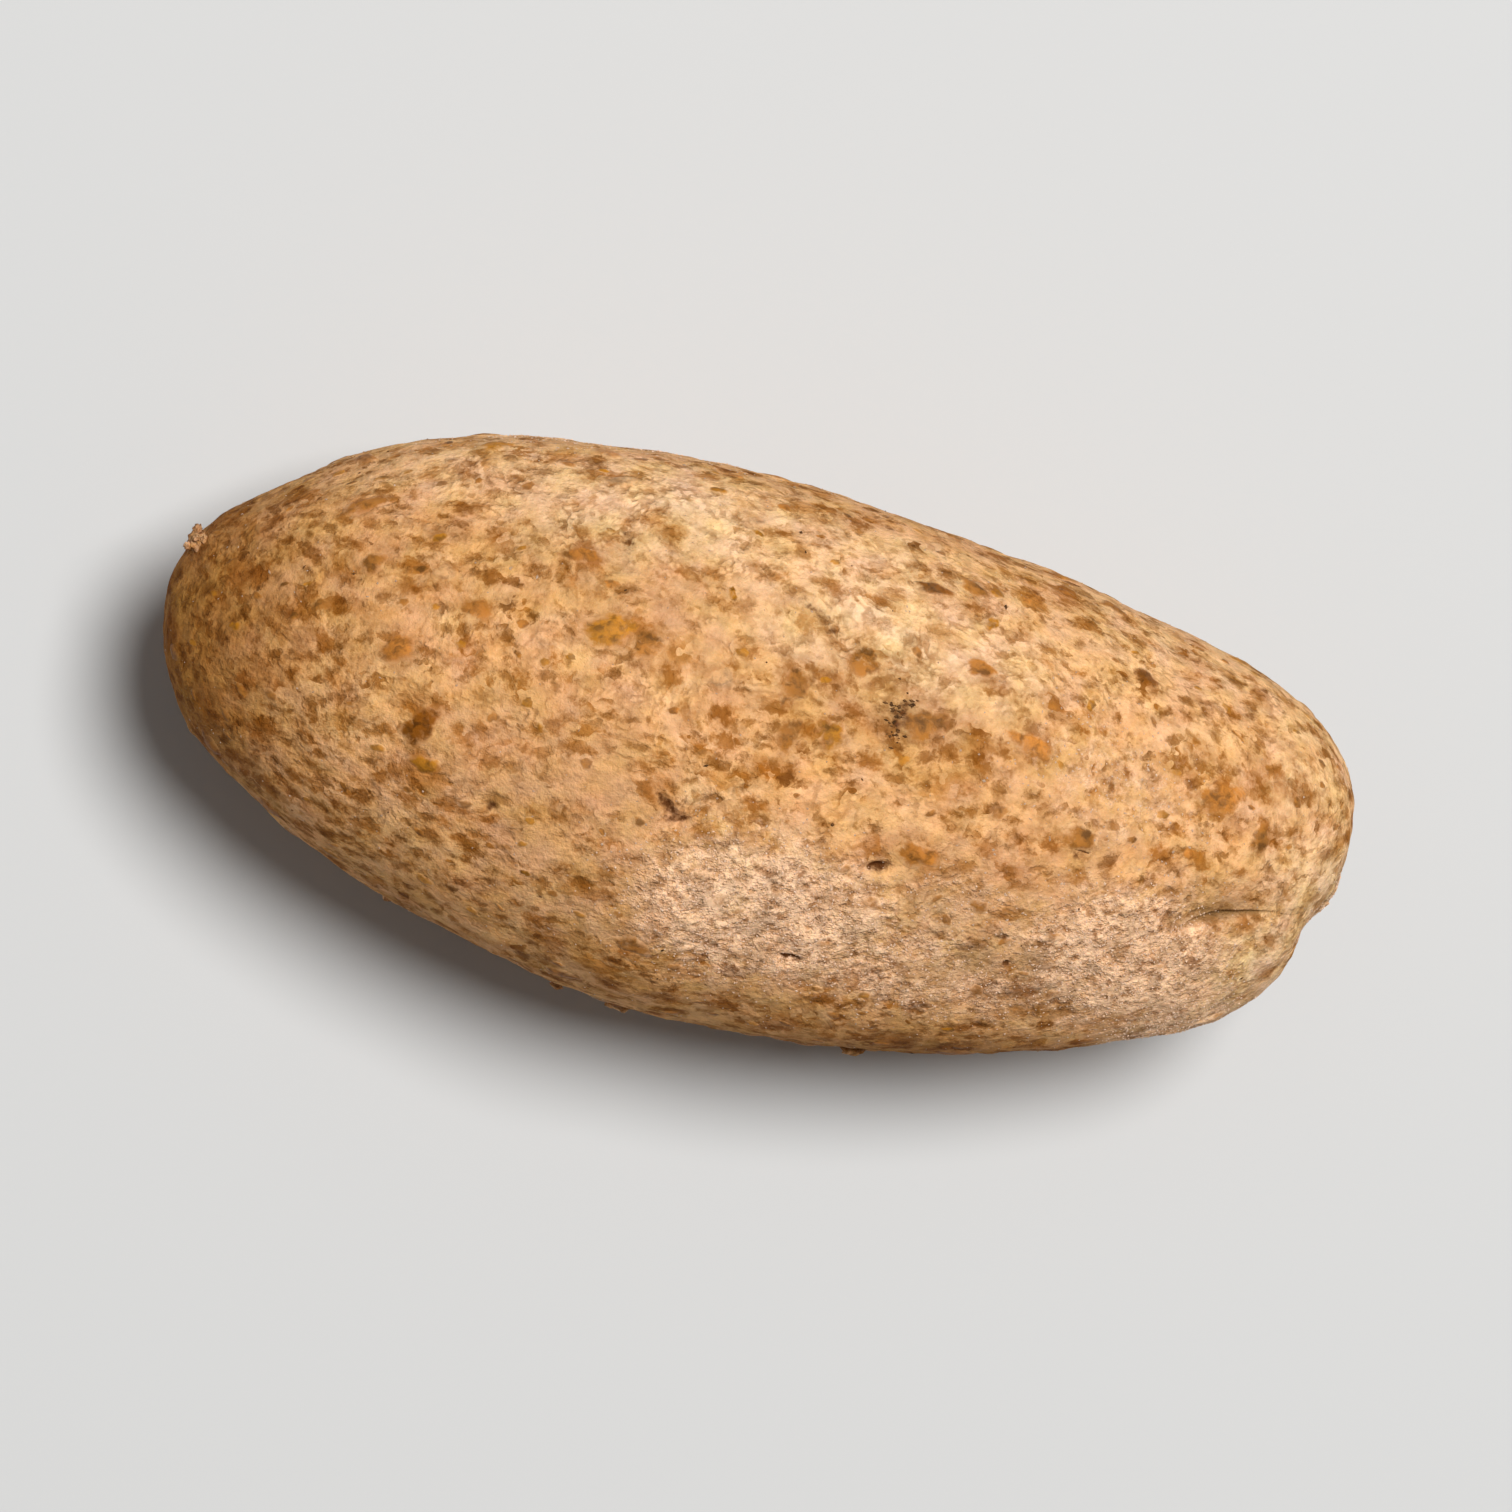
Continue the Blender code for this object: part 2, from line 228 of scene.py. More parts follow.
def nearCrack(spot):
    if spot.z < roll["height"] / 2:
        return False
    shares = (i / 16 for i in range(17))
    return any(math.dist(crackPath(share), spot.xy) < 2.4 for share in shares)


# The dough: one closed skin, fine enough for its own lumps, with the crack sunk into it

dough = {
    "rings": 306, "sides": 292,
    "lumps": ((2.4, 0.07), (1.25, 0.08), (0.75, 0.05)),  # wavelength and height of what a hand leaves
    # how finely the skin is divided round the crack and the pits, and from what depth on
    "cuts": 2, "cutFrom": 0.05,
    # pits and, where the depth is below 0, lifted scraps: x, y, length, width, turn, depth and darkness,
    # which is painted shade in the deeper pits and slits and a brown stain in the shallow marks
    "pits": (
        (7.1, -6.0, 1.8, 0.8, 12, 0.60, 1.0), (-7.9, -5.2, 1.9, 0.7, -38, 0.35, 0.85),
        (-6.3, -4.2, 1.3, 0.8, 50, -0.32, 0.0), (3.5, -13.4, 1.9, 0.6, 0, 0.3, 0.8),
        (3.6, -14.1, 1.5, 0.5, 0, -0.14, 0.0), (31.0, 1.6, 1.3, 0.5, -25, 0.2, 0.5),
        (20.4, -1.8, 2.0, 0.7, 15, 0.2, 0.45), (18.3, -10.7, 0.6, 0.6, 0, 0.2, 0.9),
        (-19.0, -8.1, 1.0, 0.8, 0, 0.2, 0.6), (-0.7, 9.7, 3.0, 0.7, -30, 0.08, 0.45),
        (-14.0, 11.6, 0.9, 2.2, 10, 0.08, 0.4), (6.1, 4.0, 2.7, 1.7, 62, 0.12, 0.62),
        (-4.0, -8.7, 1.4, 0.6, -15, 0.1, 0.4), (12.5, -9.9, 1.2, 0.7, 0, 0.1, 0.4),
        (28.9, -4.6, 2.6, 0.5, 78, 0.15, 0.4), (17.2, -8.9, 1.1, 0.8, 20, 0.1, 0.6),
        (-7.0, -5.9, 1.6, 0.6, 15, 0.30, 0.75), (0.6, 8.6, 1.8, 0.7, -5, 0.08, 0.45),
    ),
}


def crackField(points):
    # for each point: how deep the dough falls, and how far the fold shades it
    count = 80
    line = np.array([surface(*onTop(*crackPath(i / (count - 1)))) for i in range(count)])
    dip, shade = np.zeros(len(points)), np.zeros(len(points))
    near = np.nonzero((points[:, 0] > 24) & (points[:, 2] > 12))[0]  # the upper right end alone
    gaps = points[near][:, None, :] - line[None]
    away = np.linalg.norm(gaps, axis=2)
    nearest = away.argmin(axis=1)
    distance = away[np.arange(len(near)), nearest]
    farSide = gaps[np.arange(len(near)), nearest, 1] > 0
    opened = crackOpen(nearest / (count - 1))
    half = crack["width"] / 2 * opened
    slit = crack["depth"] * opened * np.clip(1 - distance / half, 0, 1)
    reach = np.where(farSide, *crack["slope"])
    slope = opened * np.exp(-(distance / reach) ** 2)
    dip[near] = slit + crack["slopeDepth"] * slope
    # painted shade: darkest in the slit, and fading up the far slope
    shade[near] = np.maximum(crack["shade"] * slope * farSide, np.clip(1.3 - distance / half, 0, 1))
    return dip, shade


def pitField(points):
    # depth and shade of the small hollows and scraps
    dip, shade = np.zeros(len(points)), np.zeros(len(points))
    for x, y, length, width, turn, depth, darkness in dough["pits"]:
        made = np.array((seat(*onTop(x, y)) @ Matrix.Rotation(math.radians(turn), 4, "Z")).inverted())
        close = np.nonzero(np.linalg.norm(points - np.linalg.inv(made)[:3, 3], axis=1) < 2.5)[0]
        local = points[close] @ made[:3, :3].T + made[:3, 3]
        away = (local[:, 0] / (length / 2)) ** 2 + (local[:, 1] / (width / 2)) ** 2
        fall = np.exp(-away ** 1.5)
        dip[close] += depth * fall
        shade[close] = np.maximum(shade[close], darkness * fall)
    return dip, shade


def doughMesh():
    rings, sides = dough["rings"], dough["sides"]
    points = [surface(-1, 0)]
    for i in range(1, rings):
        v = -math.cos(math.pi * i / rings)
        points += [surface(v, 2 * math.pi * j / sides) for j in range(sides)]
    points.append(surface(1, 0))
    last = len(points) - 1
    faces = []
    for j in range(sides):
        k = (j + 1) % sides
        faces.append((0, 1 + k, 1 + j))
        faces.append((last, last - sides + j, last - sides + k))
    for i in range(rings - 2):
        a, b = 1 + i * sides, 1 + (i + 1) * sides
        for j in range(sides):
            k = (j + 1) % sides
            faces.append((a + j, a + k, b + k, b + j))
    made = bmesh.new()
    verts = [made.verts.new(p) for p in points]
    for face in faces:
        made.faces.new([verts[i] for i in face])
    made.verts.index_update()
    ends = np.array(points)
    marked = np.maximum(np.maximum(*crackField(ends)), np.maximum(*np.abs(pitField(ends))))
    fine = marked > dough["cutFrom"]
    close = [edge for edge in made.edges if fine[edge.verts[0].index] or fine[edge.verts[1].index]]
    bmesh.ops.subdivide_edges(made, edges=close, cuts=dough["cuts"], use_grid_fill=True)
    bmesh.ops.triangulate(made, faces=[face for face in made.faces if len(face.verts) > 4])
    made.normal_update()
    points = np.array([vert.co[:] for vert in made.verts])
    normals = np.array([vert.normal[:] for vert in made.verts])
    fold, foldShade = crackField(points)
    pit, pitShade = pitField(points)
    moved = -fold - pit
    for wavelength, height in dough["lumps"]:
        moved += [height * noise.noise(Vector(p) / wavelength) for p in points]
    points += normals * moved[:, None]
    points[:, 2] = np.maximum(points[:, 2], 0)
    for vert, point in zip(made.verts, points):
        vert.co = Vector(point) * mm
    mesh = bpy.data.meshes.new("kibbehDough")
    made.to_mesh(mesh)
    made.free()
    mesh.shade_smooth()
    return mesh, points, foldShade, pitShade


# Where frost lies, and where bran is thick and shade is painted: middle and reach in millimetres, and
# strength

frostPatches = (
    ((0.5, -10.8, 31.0), (8.6, 4.8, 8.0), 0.96),
    ((12.0, -12.0, 28.0), (10.0, 3.2, 7.0), 0.56),
    ((26.0, -8.0, 28.5), (7.2, 4.8, 8.0), 1.0),
    ((32.0, -11.5, 22.0), (5.0, 4.0, 7.0), 0.75),
    ((13.0, -6.5, 32.5), (5.0, 2.5, 5.0), 0.36),
    ((22.0, 3.5, 33.0), (8.0, 4.0, 5.0), 0.34),
    ((41.6, 0.2, 19.0), (1.2, 1.4, 6.0), 0.9),
    ((41.0, -2.5, 18.0), (2.0, 3.0, 8.0), 0.4),
    ((-12.0, 17.0, 14.0), (12.0, 4.0, 6.0), 0.75),
    ((22.0, 15.0, 12.0), (10.0, 4.0, 5.0), 0.6),
    ((-24.0, -13.0, 8.0), (9.0, 5.0, 4.0), 0.5),
)
streakPatches = (
    ((2.0, 13.2, 29.5), (10.0, 3.4, 5.0), 0.62),
    ((-6.3, -4.2, 33.5), (0.8, 0.6, 3.0), 1.0),
    ((-12.0, 14.0, 28.0), (10.0, 5.0, 6.0), 0.80),
    ((-12.0, 8.5, 32.0), (7.0, 4.0, 5.0), 0.12),
    ((-1.5, -8.8, 32.0), (5.0, 3.4, 6.0), 0.95),
    ((24.0, 5.0, 32.0), (8.0, 4.0, 6.0), 0.12),
    ((10.0, -9.0, 31.5), (7.0, 3.0, 5.0), 0.40),
    ((28.0, 13.0, 22.0), (14.0, 4.0, 9.0), 0.35),
    ((35.8, -6.3, 23.0), (5.0, 4.0, 9.0), 0.95),
    ((37.0, 7.0, 24.0), (6.0, 5.0, 9.0), 0.40),
    ((38.5, -0.5, 22.0), (4.5, 3.5, 9.0), 0.85),
    ((-22.0, 14.5, 24.0), (9.0, 4.0, 6.0), 0.45),
    ((5.0, 9.0, 33.0), (11.0, 4.0, 4.0), 0.92),
)
# olive stains, laid into the same cover as the fold's painted shade
olivePatches = (
    ((15.9, -10.4, 29.0), (1.5, 1.2, 3.0), 0.60),
    ((19.9, -9.6, 28.9), (1.3, 1.1, 3.0), 0.55),
    ((13.1, -11.9, 28.2), (2.2, 0.8, 3.0), 0.50),
    ((11.8, -8.1, 31.4), (3.2, 2.4, 4.0), 0.12),
    ((6.1, 4.0, 35.0), (1.5, 1.2, 3.0), 0.55),
    ((30.6, -2.2, 30.0), (3.0, 1.6, 4.0), 0.32),
)
stainPatches = (
    ((34.4, 6.2, 28.0), (2.8, 2.4, 4.0), 0.60),
)
plainPatches = (
    ((-17.0, -4.5, 31.0), (9.0, 5.5, 8.0), 0.85),
    ((16.0, -5.0, 32.5), (8.0, 2.6, 6.0), 0.80),
    ((-9.0, 7.5, 34.0), (6.0, 4.0, 5.0), 0.50),
    ((-10.0, -10.5, 30.0), (5.5, 3.2, 6.0), 0.65),
    ((18.0, 1.0, 34.0), (9.0, 3.5, 5.0), 0.25),
)
# bran crowds here, and the same cover paints shade on the left end and along the lower flanks
branAndShadePatches = (
    ((-40.0, -2.0, 17.0), (9.0, 14.0, 14.0), 1.0),
    ((-42.0, -2.0, 15.0), (5.0, 12.0, 13.0), 1.0),
    ((-22.0, -17.0, 13.0), (20.0, 5.0, 7.0), 0.60),
    ((-25.0, -14.0, 20.0), (15.0, 6.0, 9.0), 0.30),
    ((-20.0, 9.0, 31.0), (10.0, 4.5, 6.0), 0.25),
    ((-31.0, 4.0, 27.0), (6.0, 5.0, 6.0), 0.38),
    ((6.0, 4.0, 34.0), (10.0, 4.0, 4.0), 0.30),
    ((-4.0, -17.0, 22.0), (16.0, 4.0, 8.0), 0.30),
    ((21.0, -12.0, 26.5), (3.4, 1.8, 5.0), 0.75),
    ((20.0, -17.0, 14.0), (20.0, 3.6, 10.0), 1.0),
)


def cover(points, patches):
    total = np.zeros(len(points))
    for middle, reach, strength in patches:
        away = (((points - np.array(middle)) / np.array(reach)) ** 2).sum(axis=1)
        # flat in the middle, and half gone at its reach
        total = np.maximum(total, strength * np.exp(-away ** 1.4 * 0.7))
    return total


# Materials

doughLook = {
    "cream": "#ECB784", "tan": "#E2AA73", "smear": "#F8D0A4", "stain": "#B6742E", "paintedEndShade": "#BCAA7E",
    "frost": "#FFD1A9", "frostShade": "#D09A6E", "pore": "#8E5C36", "plain": "#D09C6D", "rind": "#A2642A",
    "seam": "#98602A", "foldShade": "#926C40", "pitShade": "#60381A", "soaked": "#E8D6AC",
    "fadedShare": 0.28,  # how far a film of paste hides the flecks in places
    "fleckShare": 0.88,  # how far a fleck's own colour hides the soaked paste round it
}
# sizes of the dough's patterns in millimetres
doughSizes = {
    "sway": 7.0, "fray": 0.55,  # of the flecks' lines and of their borders
    "paste": 2.6, "smears": 1.5, "stains": 1.8, "seams": 1.1, "seamBreaks": 2.1,
    "clumps": 4.5, "film": 1.9, "blueLean": 2.4, "greenLean": 3.1, "crumb": 0.34, "patches": 1.1,
    "haloEdge": 1.0, "rime": 0.60, "pores": 0.95, "clots": 1.3, "rimeEdge": 1.1, "thinPlaces": 3.2,
    "tornEdge": 0.5, "sand": 0.5,
}
# bran and grain flecks: cell in mm, stretch along the roll, radii and softness as shares of a cell,
# share of the cells filled, strength, turn in degrees, and the colours between which each fleck falls
fleckKinds = (
    {"cell": 2.8, "stretch": 1.3, "radii": (0.14, 0.40), "soft": 0.24, "filled": 0.36, "strength": 0.94,
     "turn": 8, "halo": 0.0, "colours": ("#955614", "#B87834")},
    {"cell": 1.5, "stretch": 1.6, "radii": (0.12, 0.40), "soft": 0.16, "filled": 0.64, "strength": 1.0,
     "turn": -12, "halo": 0.35, "colours": ("#643408", "#A0601E")},
    {"cell": 0.90, "stretch": 2.1, "radii": (0.12, 0.42), "soft": 0.23, "filled": 0.68, "strength": 0.87,
     "turn": 10, "halo": 0.20, "colours": ("#562C06", "#92581C")},
    {"cell": 0.70, "stretch": 1.8, "radii": (0.12, 0.40), "soft": 0.26, "filled": 0.56, "strength": 0.70,
     "turn": -30, "halo": 0.0, "colours": ("#62360A", "#966228")},
    {"cell": 0.42, "stretch": 1.4, "radii": (0.14, 0.40), "soft": 0.20, "filled": 0.46, "strength": 0.20,
     "turn": 30, "halo": 0.0, "colours": ("#784A1A", "#A87430")},
)


def colour(hexColour):
    return (*linear(hexColour), 1)


def laidOver(tree, share, under, over, blend="MIX"):
    # one colour over another by a share: each is a hex value, or worked out by nodes
    under, over = (colour(c) if isinstance(c, str) else c for c in (under, over))
    return addNode(tree, "ShaderNodeMix", {
        0: share, 6: under, 7: over,
    }, data_type="RGBA", blend_type=blend).outputs[2]


def mottling(tree, place, size, low, high, detail=3.0, to=(0.0, 1.0), roughness=0.55):
    # uneven blotches of a size in mm, spread from low..high to the given ends
    grain = addNode(tree, "ShaderNodeTexNoise", {
        "Vector": place, "Scale": 1 / size, "Detail": detail, "Roughness": roughness,
    })
    return addNode(tree, "ShaderNodeMapRange", {
        "Value": grain.outputs["Fac"], "From Min": low, "From Max": high,
        "To Min": to[0], "To Max": to[1],
    }).outputs[0]


def seamLines(tree, place, size, width, strength):
    # soft curly lines, where noise of a size in mm passes its middle value
    waves = addNode(tree, "ShaderNodeTexNoise", {
        "Vector": place, "Scale": 1 / size, "Detail": 2.0,
    }).outputs["Fac"]
    away = addNode(tree, "ShaderNodeMath", {0: waves, 1: 0.5}, operation="SUBTRACT").outputs[0]
    away = addNode(tree, "ShaderNodeMath", {0: away}, operation="ABSOLUTE").outputs[0]
    lines = addNode(tree, "ShaderNodeMapRange", {
        "Value": away, "From Min": width, "From Max": width / 6,
    }, interpolation_type="SMOOTHSTEP").outputs[0]
    return addNode(tree, "ShaderNodeMath", {0: lines, 1: strength}, operation="MULTIPLY").outputs[0]


def fleckLayer(tree, place, kind, density):
    # one ragged blot in each filled cell of a drawn-out lattice, and the colour that falls to it
    cell, stretch = kind["cell"], kind["stretch"]
    turned = addNode(tree, "ShaderNodeMapping", {
        "Vector": place, "Rotation": (0.3, 0.2, math.radians(kind["turn"])),
    }, vector_type="TEXTURE").outputs[0]
    drawn = addNode(tree, "ShaderNodeMapping", {
        "Vector": turned, "Location": (cell * 17, cell * 5, 0),
        "Scale": (1 / (cell * stretch), 1 / cell, 0.7 / cell),
    }).outputs[0]
    blots = addNode(tree, "ShaderNodeTexVoronoi", {"Vector": drawn, "Scale": 1.0, "Randomness": 1.0})
    chance = addNode(tree, "ShaderNodeSeparateColor", {0: blots.outputs["Color"]}).outputs
    smallest, largest = kind["radii"]
    radius = addNode(tree, "ShaderNodeMapRange", {
        "Value": chance[0], "To Min": smallest, "To Max": largest,
    }).outputs[0]
    inside = addNode(tree, "ShaderNodeMath", {
        0: radius, 1: blots.outputs["Distance"],
    }, operation="SUBTRACT").outputs[0]
    torn = mottling(tree, place, cell * 0.35, 0.3, 0.7, 3.0, (-0.16, 0.16), 0.65)
    inside = addNode(tree, "ShaderNodeMath", {0: inside, 1: torn}, operation="ADD").outputs[0]
    mask = addNode(tree, "ShaderNodeMapRange", {
        "Value": inside, "From Min": -kind["soft"], "From Max": kind["soft"],
    }, interpolation_type="SMOOTHSTEP").outputs[0]
    limit = addNode(tree, "ShaderNodeMath", {
        0: density, 1: kind["filled"],
    }, operation="MULTIPLY").outputs[0]
    there = addNode(tree, "ShaderNodeMath", {0: chance[1], 1: limit}, operation="LESS_THAN").outputs[0]
    mask = addNode(tree, "ShaderNodeMath", {0: mask, 1: there}, operation="MULTIPLY").outputs[0]
    # the oily brown that a grain gives to the paste round it
    halo = addNode(tree, "ShaderNodeMapRange", {
        "Value": inside, "From Min": -0.42, "From Max": 0.10, "To Max": kind["halo"],
    }, interpolation_type="SMOOTHSTEP").outputs[0]
    halo = addNode(tree, "ShaderNodeMath", {0: halo, 1: there}, operation="MULTIPLY").outputs[0]
    shade = laidOver(tree, chance[2], *kind["colours"])
    return mask, shade, halo


def doughSkin(tree):
    # raw dough of bulgur and minced meat: dull cream, crowded with bran flecks drawn out along the roll
    look, sizes = doughLook, doughSizes
    place = addNode(tree, "ShaderNodeTexCoord").outputs["Object"]
    inMm = addNode(tree, "ShaderNodeVectorMath", {
        0: place, "Scale": 1 / mm,
    }, operation="SCALE").outputs[0]
    bent = addNode(tree, "ShaderNodeTexNoise", {
        "Vector": inMm, "Scale": 1 / sizes["sway"], "Detail": 1.0,
    }).outputs["Color"]
    ragged = addNode(tree, "ShaderNodeTexNoise", {
        "Vector": inMm, "Scale": 1 / sizes["fray"], "Detail": 2.0,
    }).outputs["Color"]
    swept = addNode(tree, "ShaderNodeVectorMath", {
        0: bent, 1: (3.0, 3.0, 3.0), 2: inMm,
    }, operation="MULTIPLY_ADD").outputs[0]
    warp = addNode(tree, "ShaderNodeVectorMath", {
        0: ragged, 1: (0.9, 0.9, 0.9), 2: swept,
    }, operation="MULTIPLY_ADD").outputs[0]
    names = ("branAndShadeCover", "frostCover", "streakCover", "plainCover", "grainHalo", "foldShade", "pitShade")
    covers = {
        name: addNode(tree, "ShaderNodeAttribute", attribute_name=name).outputs["Fac"] for name in names
    }

    # the paste itself: mottled every few millimetres, with paler smears along the roll
    pale = mottling(tree, inMm, sizes["paste"], 0.36, 0.64, 5.0)
    shown = laidOver(tree, pale, look["tan"], look["cream"])
    streaks = addNode(tree, "ShaderNodeMapping", {"Vector": warp, "Scale": (0.3, 1.0, 1.0)}).outputs[0]
    smeared = mottling(tree, streaks, sizes["smears"], 0.50, 0.74, 5.0, (0.0, 0.30))
    shown = laidOver(tree, smeared, shown, look["smear"])
    shown = laidOver(tree, covers["streakCover"], shown, look["smear"])
    stained = mottling(tree, warp, sizes["stains"], 0.50, 0.68, 4.0, (0.0, 0.35))
    shown = laidOver(tree, stained, shown, look["stain"])
    shown = laidOver(tree, covers["plainCover"], shown, look["plain"])

    # curly seams between the crumbs of paste, reddish brown, broken off here and there
    broken = mottling(tree, inMm, sizes["seamBreaks"], 0.44, 0.62, 2.0, (0.0, 0.40))
    broken = addNode(tree, "ShaderNodeMath", {
        0: covers["streakCover"], 1: 0.2, 2: broken,
    }, operation="MULTIPLY_ADD").outputs[0]
    seams = seamLines(tree, swept, sizes["seams"], 0.10, broken)
    shown = laidOver(tree, seams, shown, look["seam"])

    # flecks crowd together in clumps, and a film of paste hides them in places
    clumps = mottling(tree, inMm, sizes["clumps"], 0.36, 0.64, 3.0, (0.30, 1.70))
    density = addNode(tree, "ShaderNodeMath", {
        0: covers["branAndShadeCover"], 1: clumps,
    }, operation="ADD").outputs[0]
    film = mottling(tree, warp, sizes["film"], 0.35, 0.62, 4.0, (1.0, 1 - look["fadedShare"]))
    for name, share in (("streakCover", 0.6), ("plainCover", 0.6), ("branAndShadeCover", 0.32)):
        clear = addNode(tree, "ShaderNodeMath", {
            0: covers[name], 1: -share, 2: 1.0,
        }, operation="MULTIPLY_ADD").outputs[0]
        film = addNode(tree, "ShaderNodeMath", {0: film, 1: clear}, operation="MULTIPLY").outputs[0]
    masks = []
    for kind in fleckKinds:
        mask, shade, halo = fleckLayer(tree, warp, kind, density)
        masks.append(mask)
        if kind["halo"]:
            shown = laidOver(tree, halo, shown, look["stain"])
        share = addNode(tree, "ShaderNodeMath", {
            0: mask, 1: kind["strength"],
        }, operation="MULTIPLY").outputs[0]
        share = addNode(tree, "ShaderNodeMath", {0: share, 1: film}, operation="MULTIPLY").outputs[0]
        shown = laidOver(tree, share, shown, look["soaked"], "MULTIPLY")
        share = addNode(tree, "ShaderNodeMath", {
            0: share, 1: look["fleckShare"],
        }, operation="MULTIPLY").outputs[0]
        shown = laidOver(tree, share, shown, shade)

    # the paste leans to pink in some places and to olive in others
    blue = mottling(tree, inMm, sizes["blueLean"], 0.34, 0.66, 1.0, (0.88, 1.08))
    green = mottling(tree, inMm, sizes["greenLean"], 0.34, 0.66, 1.0, (0.985, 1.035))
    lean = addNode(tree, "ShaderNodeCombineColor", {0: 1.0, 1: green, 2: blue}).outputs[0]
    shown = laidOver(tree, 1.0, shown, lean, "MULTIPLY")

    # crumbly grain, finer than the flecks, lightens and darkens all of it
    crumb = mottling(tree, streaks, sizes["crumb"], 0.30, 0.70, 3.0, (0.0, 1.0), 0.6)
    crumb = laidOver(tree, crumb, (0.94, 0.92, 0.86, 1), (1.07, 1.06, 1.08, 1))
    shown = laidOver(tree, 1.0, shown, crumb, "MULTIPLY")
    patchy = mottling(tree, warp, sizes["patches"], 0.36, 0.64, 2.0, (0.88, 1.10))
    shown = addNode(tree, "ShaderNodeVectorMath", {
        0: shown, "Scale": patchy,
    }, operation="SCALE").outputs[0]

    # painted shade and denser bran: where the bran cover lies, mostly on the left end and the lower flanks,
    # all is darkened and browned
    shown = laidOver(tree, covers["branAndShadeCover"], shown, look["paintedEndShade"], "MULTIPLY")

    # the paste is browner round each large grain
    uneven = mottling(tree, inMm, sizes["haloEdge"], 0.36, 0.62, 2.0)
    ringed = addNode(tree, "ShaderNodeMath", {
        0: covers["grainHalo"], 1: uneven,
    }, operation="MULTIPLY").outputs[0]
    shown = laidOver(tree, ringed, shown, look["rind"])

    # painted shade: the crack's slit and the slope above it are darkened olive, with the olive stains laid
    # into the same cover
    shown = laidOver(tree, covers["foldShade"], shown, look["foldShade"])

    # frost veils the flecks: a spongy crust with fine grain, dark pores, thin places and a crumbly border
    grainy = mottling(tree, inMm, sizes["rime"], 0.34, 0.54, 3.0, (0.0, 1.0), 0.75)
    frosted = laidOver(tree, grainy, look["frostShade"], look["frost"])
    pores = mottling(tree, inMm, sizes["pores"], 0.53, 0.65, 3.0, (0.0, 0.82), 0.60)
    frosted = laidOver(tree, pores, frosted, look["pore"])
    clotted = mottling(tree, inMm, sizes["clots"], 0.40, 0.60, 3.0, (0.82, 1.34))
    frosted = addNode(tree, "ShaderNodeVectorMath", {
        0: frosted, "Scale": clotted,
    }, operation="SCALE").outputs[0]
    crumbled = mottling(tree, inMm, sizes["rimeEdge"], 0.3, 0.7, 4.0, (-0.25, 0.25), 0.7)
    crumbled = addNode(tree, "ShaderNodeMath", {
        0: covers["frostCover"], 1: crumbled,
    }, operation="ADD").outputs[0]
    crumbled = addNode(tree, "ShaderNodeMapRange", {
        "Value": crumbled, "From Min": 0.18, "From Max": 0.75,
    }, interpolation_type="SMOOTHSTEP").outputs[0]
    thin = mottling(tree, inMm, sizes["thinPlaces"], 0.36, 0.56, 3.0, (0.70, 1.0))
    opened = addNode(tree, "ShaderNodeMath", {0: crumbled, 1: thin}, operation="MULTIPLY").outputs[0]
    # the frost veil is thinned over the fold's painted shade and the olive stains, so that they show
    foldShadeUnveiled = addNode(tree, "ShaderNodeMath", {
        0: covers["foldShade"], 1: -0.75, 2: 0.80,
    }, operation="MULTIPLY_ADD").outputs[0]
    veil = addNode(tree, "ShaderNodeMath", {
        0: opened, 1: foldShadeUnveiled,
    }, operation="MULTIPLY", use_clamp=True).outputs[0]
    shown = laidOver(tree, veil, shown, frosted)

    # painted shade in the deeper pits and slits, brown stains in the shallow marks, all with a frayed
    # border
    torn = mottling(tree, inMm, sizes["tornEdge"], 0.3, 0.7, 3.0, (-0.35, 0.35))
    torn = addNode(tree, "ShaderNodeMath", {0: covers["pitShade"], 1: torn}, operation="ADD").outputs[0]
    torn = addNode(tree, "ShaderNodeMapRange", {
        "Value": torn, "From Min": 0.10, "From Max": 0.85,
    }, interpolation_type="SMOOTHSTEP").outputs[0]
    shown = laidOver(tree, torn, shown, look["pitShade"])

    # the surface: sandy grain all over, flecks and seams a hair below the dough, rime standing on it
    sand = mottling(tree, inMm, sizes["sand"], 0.0, 1.0, 4.0, (0.0, 1.0), 0.65)
    sunk = addNode(tree, "ShaderNodeMath", {
        0: masks[2], 1: -0.30, 2: sand,
    }, operation="MULTIPLY_ADD").outputs[0]
    sunk = addNode(tree, "ShaderNodeMath", {
        0: seams, 1: -0.5, 2: sunk,
    }, operation="MULTIPLY_ADD").outputs[0]
    height = addNode(tree, "ShaderNodeMath", {0: veil, 1: grainy}, operation="MULTIPLY").outputs[0]
    height = addNode(tree, "ShaderNodeMath", {
        0: height, 1: 0.8, 2: sunk,
    }, operation="MULTIPLY_ADD").outputs[0]
    return shown, height, warp, veil


def doughMaterial():
    # matte frozen dough, with the slight depth that starch and fat give
    made = newMaterial("rawBulgurDough")
    tree = made.node_tree
    shown, height, _, _ = doughSkin(tree)
    bump = addNode(tree, "ShaderNodeBump", {
        "Height": height, "Strength": 0.9, "Distance": 0.30 * mm,
    }).outputs[0]
    shader = addNode(tree, "ShaderNodeBsdfPrincipled", {
        "Base Color": shown, "Normal": bump, "Roughness": 0.8, "IOR": 1.42, "Specular IOR Level": 0.06,
        "Subsurface Weight": 0.10, "Subsurface Radius": (1.0, 0.5, 0.25), "Subsurface Scale": 1.0 * mm,
    })
    addNode(tree, "ShaderNodeOutputMaterial", {"Surface": shader.outputs[0]})
    return made


